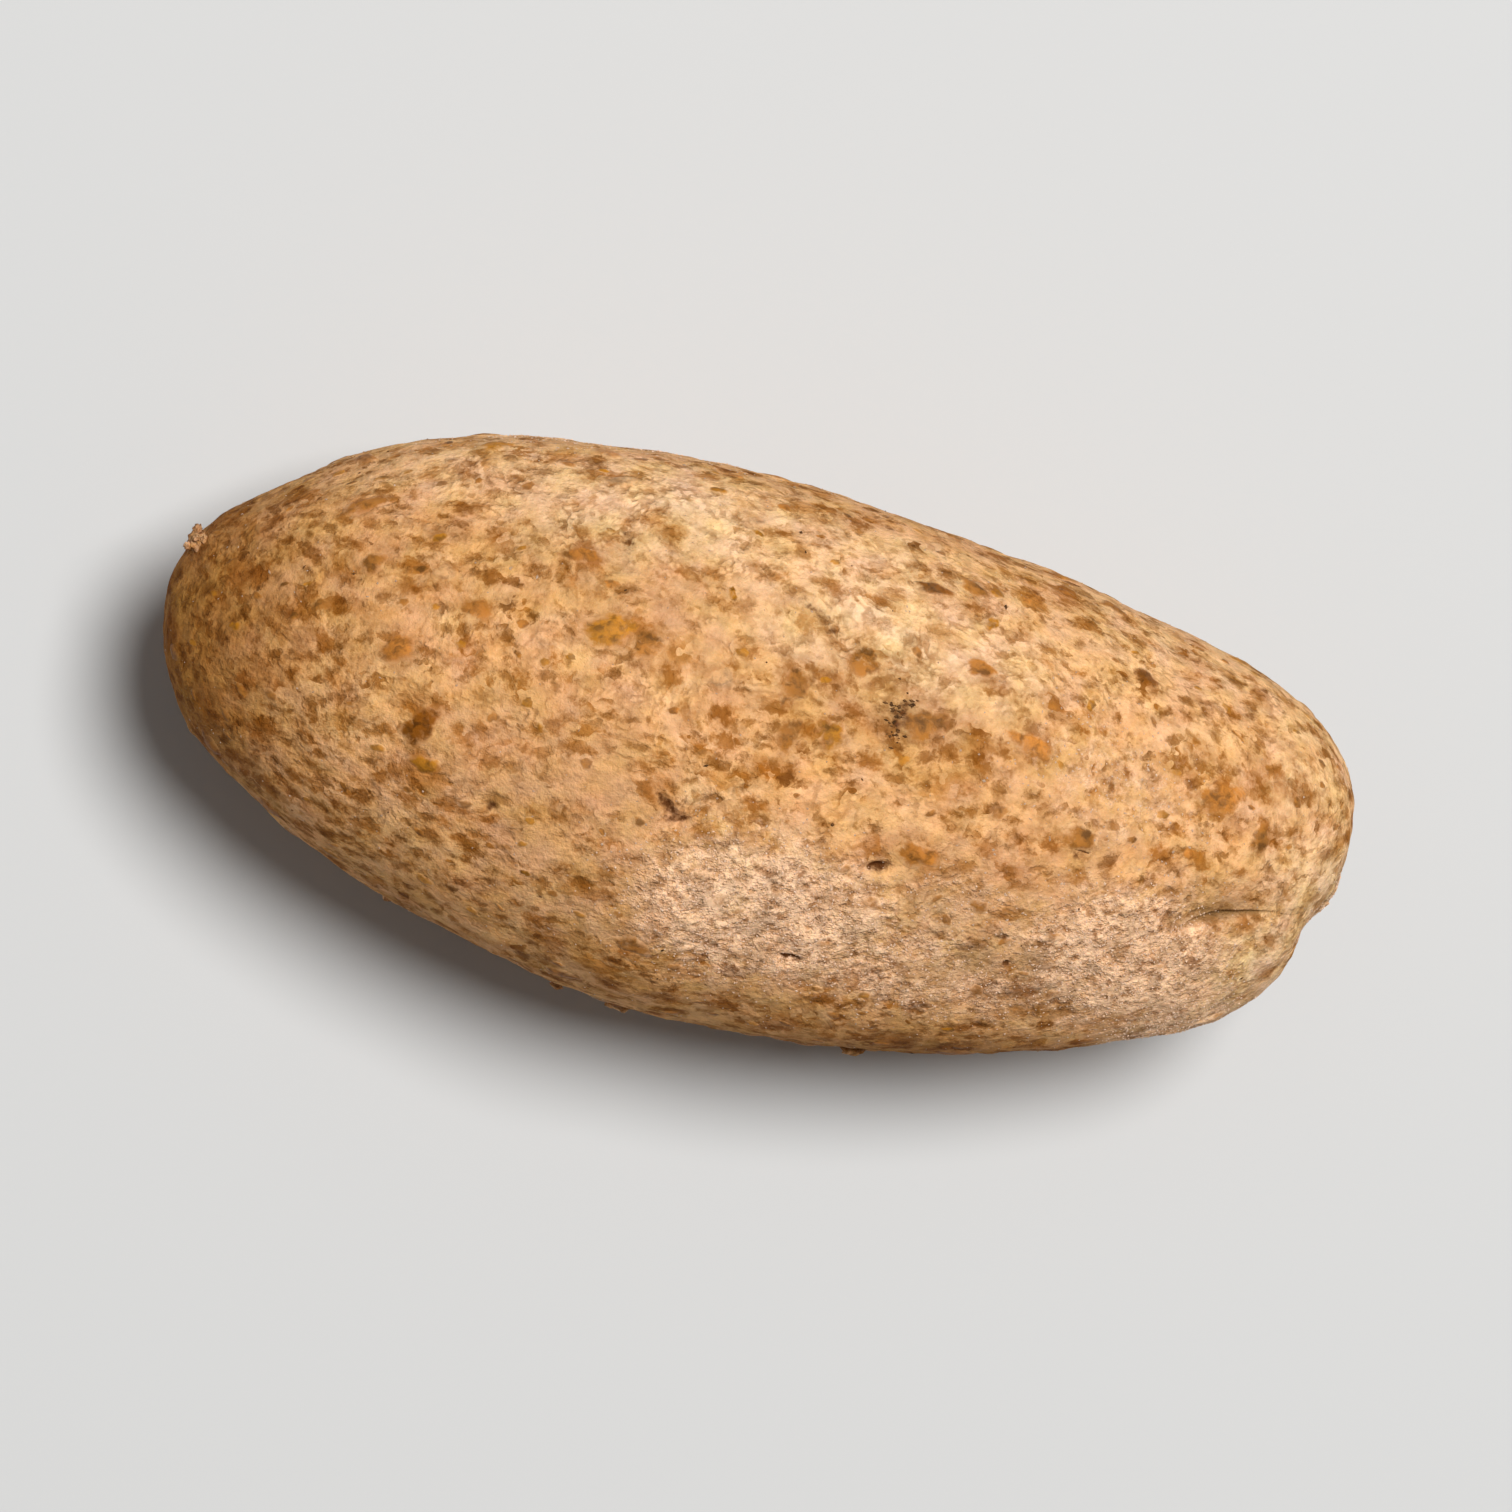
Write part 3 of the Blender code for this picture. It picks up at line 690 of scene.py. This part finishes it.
def grainMaterial():
    # cracked bulgur: a waxy amber kernel, whose border is lost under a film of dough
    made = newMaterial("crackedBulgur")
    tree = made.node_tree
    shown, height, warp, veil = doughSkin(tree)
    tint = addNode(tree, "ShaderNodeAttribute", attribute_name="tint")
    kernel = addNode(tree, "ShaderNodeAttribute", attribute_name="kernel").outputs["Fac"]
    ragged = mottling(tree, warp, 1.1, 0.3, 0.7, 5.0, (-0.54, 0.42), 0.65)
    edge = addNode(tree, "ShaderNodeMath", {0: ragged, 1: kernel}, operation="ADD").outputs[0]
    bare = addNode(tree, "ShaderNodeMapRange", {
        "Value": edge, "From Min": 0.12, "From Max": 0.90,
    }, interpolation_type="SMOOTHSTEP").outputs[0]
    bare = addNode(tree, "ShaderNodeMath", {
        0: bare, 1: tint.outputs["Alpha"],
    }, operation="MULTIPLY").outputs[0]
    unveiled = addNode(tree, "ShaderNodeMath", {
        0: veil, 1: -0.95, 2: 1.0,
    }, operation="MULTIPLY_ADD").outputs[0]
    bare = addNode(tree, "ShaderNodeMath", {0: bare, 1: unveiled}, operation="MULTIPLY").outputs[0]
    tinted = tint.outputs["Color"]
    darker = addNode(tree, "ShaderNodeVectorMath", {
        0: tinted, "Scale": 0.38,
    }, operation="SCALE").outputs[0]
    inner = laidOver(tree, mottling(tree, warp, 0.8, 0.43, 0.64, 4.0), tinted, darker)
    both = laidOver(tree, bare, shown, inner)
    bump = addNode(tree, "ShaderNodeBump", {
        "Height": height, "Strength": 0.6, "Distance": 0.1 * mm,
    }).outputs[0]
    shader = addNode(tree, "ShaderNodeBsdfPrincipled", {
        "Base Color": both, "Normal": bump, "Roughness": 0.55, "IOR": 1.45, "Specular IOR Level": 0.10,
        "Subsurface Weight": 0.1, "Subsurface Radius": (1.0, 0.5, 0.2), "Subsurface Scale": 0.6 * mm,
    })
    addNode(tree, "ShaderNodeOutputMaterial", {"Surface": shader.outputs[0]})
    return made


def tintedMaterial(name, settings):
    # each stone or crystal carries its own tint
    made = newMaterial(name)
    tree = made.node_tree
    tint = addNode(tree, "ShaderNodeAttribute", attribute_name="tint").outputs["Color"]
    shader = addNode(tree, "ShaderNodeBsdfPrincipled", {"Base Color": tint, **settings})
    addNode(tree, "ShaderNodeOutputMaterial", {"Surface": shader.outputs[0]})
    return made


print("materials")
doughFinish = doughMaterial()
grainFinish = grainMaterial()
# ground black pepper and allspice: dull dark brown
speckFinish = tintedMaterial("groundSpice", {
    "Roughness": 0.8, "IOR": 1.45, "Specular IOR Level": 0.1,
})
# hoar frost: pale grains that pick up the warm dough under them
frostFinish = tintedMaterial("freezerFrost", {
    "Roughness": 0.35, "IOR": 1.31, "Subsurface Weight": 0.35,
    "Subsurface Radius": (1.0, 0.9, 0.8), "Subsurface Scale": 0.5 * mm,
})

print("dough")
doughSkinMesh, doughPoints, foldShade, pitShade = doughMesh()
doughSkinMesh.materials.append(doughFinish)
doughPiece = bpy.data.objects.new("kibbehDough", doughSkinMesh)
bpy.context.scene.collection.objects.link(doughPiece)
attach(doughPiece, "root")
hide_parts("kibbeh")
skin = BVHTree.FromPolygons(
    [Vector(p) for p in doughPoints], [tuple(face.vertices) for face in doughSkinMesh.polygons]
)


def settle(made):
    # moves a frame onto the finished skin, and stands it on the skin's own slope
    spot, normal, _, _ = skin.find_nearest(made.translation)
    along = made.col[0].to_3d()
    along = (along - normal * along.dot(normal)).normalized()
    put = Matrix((along, normal.cross(along), normal)).transposed().to_4x4()
    put.translation = spot
    return put


# Bulgur grains: those of the solid, and smaller ones between them

grains = {
    "crown": (  # x, y, length, width and turn of the largest on the crown
        (-14.3, 5.1, 3.1, 2.2, 10), (-11.6, 4.8, 2.1, 1.6, 70), (-24.7, -3.8, 2.8, 1.8, 60),
        (-23.8, -6.2, 1.7, 1.1, 0), (-16.8, 9.8, 2.6, 1.2, 5), (-27.4, 0.7, 2.1, 1.6, 20),
        (-23.0, 4.6, 2.0, 1.1, -10), (2.8, 7.0, 2.4, 1.7, 30), (-1.5, 4.2, 2.3, 1.7, 80),
        (1.5, 1.8, 1.9, 1.7, 45), (7.7, 3.9, 3.3, 1.7, 25), (15.3, 4.3, 2.9, 1.5, -15),
        (23.2, 11.0, 1.9, 1.5, 0), (29.6, 4.0, 3.2, 2.2, 10), (33.2, 2.0, 1.9, 1.5, 60),
        (20.0, -0.9, 2.4, 1.4, 0), (9.4, -4.6, 2.7, 1.4, -10), (-7.0, -14.6, 2.1, 1.3, 0),
        (7.0, 13.0, 2.4, 1.1, 5), (-25.5, 6.6, 1.5, 1.2, 0), (-30.1, 6.1, 1.5, 1.3, 20),
        (-1.2, 1.2, 2.0, 1.4, 80), (10.9, 8.5, 1.7, 1.4, 0), (-6.5, 3.6, 1.8, 1.4, 30),
        (10.0, 14.0, 1.7, 1.3, 0), (-14.7, 15.5, 1.8, 1.0, 0), (-31.2, 10.0, 3.2, 1.1, 25),
    ),
    # amber, brown, dark, orange or pale, one letter for each
    "crownTints": "abdaooobbabodobbobdpbbopbpb",
    "count": 96, "highest": 23.0, "lengths": (1.4, 2.6), "gap": 3.3, "proud": 0.15,
    "smallCount": 330, "smallLengths": (0.6, 1.3), "smallGap": 1.6,
    # colour and how far the kernel shows through the film of dough
    "tints": {
        "a": ("#B6761C", 1.0), "b": ("#A4692A", 1.0), "d": ("#824A0E", 1.0), "o": ("#BA7630", 1.0),
        "p": ("#E2AE78", 0.75),
    },
}


def dome(made, length, width, proud, corners, draw, points, faces, kernels, sides):
    # a low kernel with uneven sides: it rises softly out of the dough, and is closed below
    phases = [draw.uniform(0, 2 * math.pi) for _ in range(3)]
    # share of its reach, height as a share of what stands proud, and how much kernel shows
    levels = ((0.0, 1.0, 1.0), (0.35, 0.95, 1.0), (0.6, 0.85, 0.95), (0.8, 0.65, 0.80), (1.0, 0.4, 0.55),
              (1.2, 0.15, 0.22), (1.4, -0.3, 0.0), (0.9, -2.0, 0.0))
    first = len(points)
    for share, level, kernel in levels:
        for corner in range(corners if share else 1):
            angle = 2 * math.pi * corner / corners
            wave = sum(math.sin(n * angle + phase) for n, phase in zip((2, 3, 5), phases))
            reach = (0.5 + 0.055 * wave) * share
            spot = made @ Vector((length * reach * math.cos(angle), width * reach * math.sin(angle), 0))
            onSkin, normal, _, _ = skin.find_nearest(spot)
            points.append(onSkin + normal * proud * level)
            kernels.append(kernel)
            # painted shade: each kernel is darker on one side and lighter on the other, turned at random
            sides.append(1 + 0.22 * min(share, 1) * math.cos(angle - phases[0]))
    for j in range(corners):
        k = (j + 1) % corners
        faces.append((first, first + 1 + j, first + 1 + k))
        for ring in range(len(levels) - 2):
            a, b = first + 1 + ring * corners, first + 1 + (ring + 1) * corners
            faces.append((a + j, b + j, b + k, a + k))
    bottom = first + 1 + (len(levels) - 2) * corners
    faces.append(tuple(bottom + j for j in reversed(range(corners))))


def grainHalo(points):
    # how far the dough is stained round the largest kernels
    shade = np.zeros(len(points))
    for x, y, length, width, turn in grains["crown"]:
        made = settle(seat(*onTop(x, y)) @ Matrix.Rotation(math.radians(turn), 4, "Z"))
        close = np.nonzero(np.linalg.norm(points - np.array(made.translation), axis=1) < 4)[0]
        inverse = np.array(made.inverted())
        local = points[close] @ inverse[:3, :3].T + inverse[:3, 3]
        away = np.hypot(local[:, 0] / (length / 2 + 0.45), local[:, 1] / (width / 2 + 0.45))
        shade[close] = np.maximum(shade[close], 0.6 * np.clip(1.5 - away, 0, 1))
    return shade


def grainPlaces():
    # the draws follow the solid's, so that each kernel lies over its chip
    draw = random.Random(11)
    places = []
    for (x, y, length, width, turn), letter in zip(grains["crown"], grains["crownTints"]):
        made = seat(*onTop(x, y))
        for _ in range(7):
            draw.random()
        places.append((made @ Matrix.Rotation(math.radians(turn), 4, "Z"), length, width, letter))
    shortest, longest = grains["lengths"]
    while len(places) < grains["count"]:
        made = seat(draw.uniform(-0.93, 0.93), draw.uniform(0, 2 * math.pi))
        spot = made.translation
        tooNear = any((spot - other[0].translation).length < grains["gap"] for other in places)
        if tooNear or not 2.2 < spot.z < grains["highest"] or nearCrack(spot):
            continue
        length = draw.triangular(shortest, longest, shortest)
        turned = made @ Matrix.Rotation(draw.gauss(0, 0.6), 4, "Z")
        width = length * draw.uniform(0.5, 0.8)
        for _ in range(7):
            draw.random()
        places.append((turned, length, width, None))
    return places


def bulgur():
    draw = random.Random(23)
    points, faces, kernels, sides, tints = [], [], [], [], []
    places = grainPlaces()
    taken = [place[0].translation for place in places]
    shortest, longest = grains["smallLengths"]
    while len(places) < grains["count"] + grains["smallCount"]:
        made = seat(draw.uniform(-0.97, 0.97), draw.uniform(0, 2 * math.pi))
        spot = made.translation
        tooNear = any((spot - other).length < grains["smallGap"] for other in taken)
        if tooNear or spot.z < 1.5 or nearCrack(spot):
            continue
        length = draw.triangular(shortest, longest, shortest)
        turned = made @ Matrix.Rotation(draw.gauss(0, 0.5), 4, "Z")
        places.append((turned, length, length * draw.uniform(0.45, 0.8), None))
        taken.append(spot)
    for i, (made, length, width, letter) in enumerate(places):
        crown = letter is not None
        letter = letter or draw.choice("aabbbo")
        first = len(points)
        proud = grains["proud"] * min(1, length / 2)
        corners = 20 if i < grains["count"] else 12
        dome(settle(made), length, width, proud, corners, draw, points, faces, kernels, sides)
        hexColour, bare = grains["tints"][letter]
        tint = np.array(linear(hexColour)) * draw.uniform(0.85, 1.15)
        bare *= draw.uniform(0.92 if crown else 0.75, 1.0)
        tints += [(*(tint * side), bare) for side in sides[first:]]
    piece = newPiece("bulgurGrains", points, faces, grainFinish)
    addAttribute(piece, "kernel", kernels)
    addColour(piece, "tint", tints)
    where = np.array([p[:] for p in points])
    addCovers(piece, where, crackField(where)[1], pitField(where)[1])


def addCovers(piece, points, foldShade, pitShade, rime=0.0):
    addAttribute(piece, "frostCover", np.maximum(cover(points, frostPatches), rime))
    addAttribute(piece, "branAndShadeCover", cover(points, branAndShadePatches))
    addAttribute(piece, "streakCover", cover(points, streakPatches))
    addAttribute(piece, "plainCover", cover(points, plainPatches))
    addAttribute(piece, "grainHalo", np.maximum(grainHalo(points), cover(points, stainPatches)))
    addAttribute(piece, "foldShade", np.maximum(foldShade, cover(points, olivePatches)))
    addAttribute(piece, "pitShade", pitShade)


print("bulgur grains")
bulgur()
addCovers(doughPiece, doughPoints, foldShade, pitShade)


# Scattered pieces: spice specks, frost crystals and crumbs of dough

def stone(made, sizes, roughen, draw, points, faces):
    # eight faces, for what is under half a millimetre
    first = len(points)
    corners = ((1, 0, 0), (0, 1, 0), (-1, 0, 0), (0, -1, 0), (0, 0, 1), (0, 0, -1))
    for corner in corners:
        jog = 0.5 * (1 + draw.uniform(-roughen, roughen))
        points.append(made @ Vector(corner[i] * sizes[i] * jog for i in range(3)))
    for j in range(4):
        k = (j + 1) % 4
        faces.append((first + j, first + k, first + 4))
        faces.append((first + k, first + j, first + 5))


def scatterOnSkin(count, weights, seed):
    # frames on the skin, drawn by the weight of each face
    triangles = np.array([tuple(face.vertices)[:3] for face in doughSkinMesh.polygons])
    corners = doughPoints[triangles]
    sides = np.cross(corners[:, 1] - corners[:, 0], corners[:, 2] - corners[:, 0])
    areas = np.linalg.norm(sides, axis=1)
    share = areas * weights[triangles].mean(axis=1)
    share[corners[:, :, 2].max(axis=1) < 0.4] = 0
    draw = np.random.default_rng(seed)
    picked = draw.choice(len(triangles), count, p=share / share.sum())
    a, b = draw.random(count), draw.random(count)
    over = a + b > 1
    a[over], b[over] = 1 - a[over], 1 - b[over]
    face = corners[picked]
    spots = face[:, 0] + (face[:, 1] - face[:, 0]) * a[:, None]
    spots += (face[:, 2] - face[:, 0]) * b[:, None]
    turns = draw.random(count) * 2 * math.pi
    frames = []
    for spot, normal, turn in zip(spots, sides[picked] / areas[picked][:, None], turns):
        out = Vector(normal)
        put = out.to_track_quat("Z", "Y").to_matrix().to_4x4() @ Matrix.Rotation(turn, 4, "Z")
        put.translation = Vector(spot)
        frames.append(put)
    return frames


frost = {"crystals": 8000, "sizes": (0.10, 0.24), "base": 0.012, "white": "#F8CCA8"}
specks = {
    "count": 60, "sizes": (0.15, 0.4), "dark": "#54381F",
    "cluster": ((6.1, 4.0), 1.35, 70),  # place, reach and count of the smudge near the middle
}
crumbs = {
    "count": 26, "sizes": (0.8, 1.7), "gap": 2.0, "rime": 0.40,
    # from and to along the roll, and round it in degrees
    "bands": (((-0.60, 0.75), (183, 204)), ((-0.10, 0.88), (180, 222)), ((-0.92, -0.30), (190, 345))),
    "nub": ((-40.8, 5.2), 1.9), "nubCrumbs": 14,
}


def frostCrystals():
    draw = random.Random(41)
    weights = cover(doughPoints, frostPatches) ** 1.3 + frost["base"]
    frames = scatterOnSkin(frost["crystals"], weights, 7)
    covered = cover(np.array([made.translation[:] for made in frames]), frostPatches)
    points, faces, tints = [], [], []
    white = np.array(linear(frost["white"]))
    for made, share in zip(frames, covered):
        size = draw.triangular(*frost["sizes"], frost["sizes"][0])
        sizes = [size * draw.uniform(*ends) for ends in ((0.8, 1.6), (0.7, 1.1), (0.5, 0.9))]
        first = len(points)
        tilted = made @ Matrix.Rotation(draw.gauss(0, 0.5), 4, "X")
        stone(tilted, sizes, 0.25, draw, points, faces)
        tint = white * draw.uniform(0.75, 1.05) * min(1, 0.55 + share)
        tints += [(*tint, 1)] * (len(points) - first)
    piece = newPiece("frostCrystals", points, faces, frostFinish)
    piece.data.shade_flat()
    addColour(piece, "tint", tints)


def spiceSpecks():
    draw = random.Random(57)
    points, faces, tints = [], [], []
    dark = np.array(linear(specks["dark"]))
    made = scatterOnSkin(specks["count"], np.ones(len(doughPoints)), 19)
    (x, y), reach, count = specks["cluster"]
    for _ in range(count):
        made.append(settle(seat(*onTop(x + draw.gauss(0, reach * 0.45), y + draw.gauss(0, reach * 0.6)))))
    for put in made:
        size = draw.triangular(*specks["sizes"], specks["sizes"][0])
        sizes = (size * draw.uniform(0.9, 1.8), size * draw.uniform(0.5, 0.9), 0.12)
        first = len(points)
        stone(put, sizes, 0.3, draw, points, faces)
        tint = dark * draw.uniform(0.6, 1.8)
        tints += [(*tint, 1)] * (len(points) - first)
    piece = newPiece("spiceSpecks", points, faces, speckFinish)
    addColour(piece, "tint", tints)


def crumbPlaces():
    # the draws follow the solid's
    draw = random.Random(5)
    places = []
    while len(places) < crumbs["count"]:
        ends, turns = crumbs["bands"][len(places) % len(crumbs["bands"])]
        made = seat(draw.uniform(*ends), math.radians(draw.uniform(*turns)))
        spot = made.translation
        tooNear = any((spot - other[0].translation).length < crumbs["gap"] for other in places)
        if tooNear or spot.z < 3 or nearCrack(spot):
            continue
        size = draw.uniform(*crumbs["sizes"])
        sizes = (size * draw.uniform(0.9, 1.4), size, size * draw.uniform(0.5, 0.8))
        for _ in range(12):
            draw.random()
        places.append((made, sizes))
    return places


def lump(made, sizes, draw, points, faces):
    # a small ball broken up by noise at two scales
    ball = bmesh.new()
    bmesh.ops.create_icosphere(ball, subdivisions=3, radius=0.5)
    first = len(points)
    away = Vector((draw.random() * 50, draw.random() * 50, draw.random() * 50))
    for vert in ball.verts:
        rough = 1 + 0.5 * noise.noise(vert.co * 4 + away) + 0.35 * noise.noise(vert.co * 11 + away)
        points.append(made @ Vector(vert.co[i] * sizes[i] * rough for i in range(3)))
    faces += [tuple(first + vert.index for vert in face.verts) for face in ball.faces]
    ball.free()


def doughCrumbs():
    draw = random.Random(77)
    points, faces = [], []
    for made, sizes in crumbPlaces():
        lump(settle(made) @ Matrix.Translation((0, 0, sizes[1] * 0.1)), sizes, draw, points, faces)
    # the nub at the left end: one lump with crumbs stuck to it
    (x, y), size = crumbs["nub"]
    made = settle(seat(*onTop(x, y)))
    for i in range(1 + crumbs["nubCrumbs"]):
        away = Vector([draw.uniform(-0.36, 0.36) * size for _ in range(3)]) if i else Vector()
        share = draw.uniform(0.18, 0.45) if i else 0.9
        sizes = (size * 0.8 * share, size * share, size * 0.8 * share)
        lump(made @ Matrix.Translation(away), sizes, draw, points, faces)
    piece = newPiece("doughCrumbs", points, faces, doughFinish)
    bare = np.zeros(len(points))
    addCovers(piece, np.array([p[:] for p in points]), bare, bare, crumbs["rime"])


print("specks, crystals and crumbs")
spiceSpecks()
frostCrystals()
doughCrumbs()


# Stage: pale floor, soft light and the photograph's view from above and a little from the left

stage = {
    "floor": "#C6C6C5", "floorSize": 6.0,
    "keyPower": 17.0, "fillPower": 0.5, "ambient": 0.14,
    "viewTurn": 13.39, "viewLean": 10.4, "distance": 0.5, "frameWidth": 0.104,
}


def buildStage():
    # matt card, a little under white
    finish = newMaterial("palePaper")
    tree = finish.node_tree
    shader = addNode(tree, "ShaderNodeBsdfPrincipled", {
        "Base Color": colour(stage["floor"]), "Roughness": 0.9,
    })
    addNode(tree, "ShaderNodeOutputMaterial", {"Surface": shader.outputs[0]})
    half = stage["floorSize"] / 2
    mesh = bpy.data.meshes.new("floor")
    level = -0.05 * mm  # a hair below the piece, so that the two do not flicker
    corners = [(-half, -half, level), (half, -half, level), (half, half, level), (-half, half, level)]
    mesh.from_pydata(corners, [], [(0, 1, 2, 3)])
    mesh.materials.append(finish)
    floor = bpy.data.objects.new("floor", mesh)
    bpy.context.scene.collection.objects.link(floor)


def viewAxes():
    # the picture's right and up, laid on the table, and the line from the piece to the camera
    turn = math.radians(stage["viewTurn"])
    right = Vector((math.cos(turn), math.sin(turn), 0))
    up = Vector((-math.sin(turn), math.cos(turn), 0))
    lean = math.radians(stage["viewLean"])
    towards = -right * math.sin(lean) + Vector((0, 0, 1)) * math.cos(lean)
    return right, up, towards


def buildCamera():
    right, _, towards = viewAxes()
    centre = (Vector(cadBox[0]) + Vector(cadBox[1])) / 2
    data = bpy.data.cameras.new("camera")
    data.sensor_width = 36
    data.lens = 36 * stage["distance"] / stage["frameWidth"]
    data.clip_start, data.clip_end = 0.01, 50
    camera = bpy.data.objects.new("camera", data)
    across = (right - towards * right.dot(towards)).normalized()
    made = Matrix((across, towards.cross(across), towards)).transposed().to_4x4()
    made.translation = centre + towards * stage["distance"]
    camera.matrix_world = made
    bpy.context.scene.collection.objects.link(camera)
    bpy.context.scene.camera = camera


def addLight(name, direction, distance, size, power):
    data = bpy.data.lights.new(name, "AREA")
    data.shape = "DISK"
    data.size = size
    data.energy = power
    light = bpy.data.objects.new(name, data)
    light.location = direction.normalized() * distance
    light.rotation_euler = direction.to_track_quat("Z", "Y").to_euler()
    bpy.context.scene.collection.objects.link(light)


def buildLight():
    right, up, _ = viewAxes()
    high = Vector((0, 0, 1))
    addLight("key", right * 0.16 + up * 0.20 + high, 1.2, 0.5, stage["keyPower"])
    addLight("fill", right * -0.2 + up * 0.3 + high, 1.5, 1.2, stage["fillPower"])
    world = bpy.data.worlds.new("studio")
    world.use_nodes = True
    world.node_tree.nodes["Background"].inputs["Color"].default_value = (1, 1, 1, 1)
    world.node_tree.nodes["Background"].inputs["Strength"].default_value = stage["ambient"]
    bpy.context.scene.world = world
    bpy.context.scene.view_settings.view_transform = "Standard"


print("stage")
buildStage()
buildCamera()
buildLight()
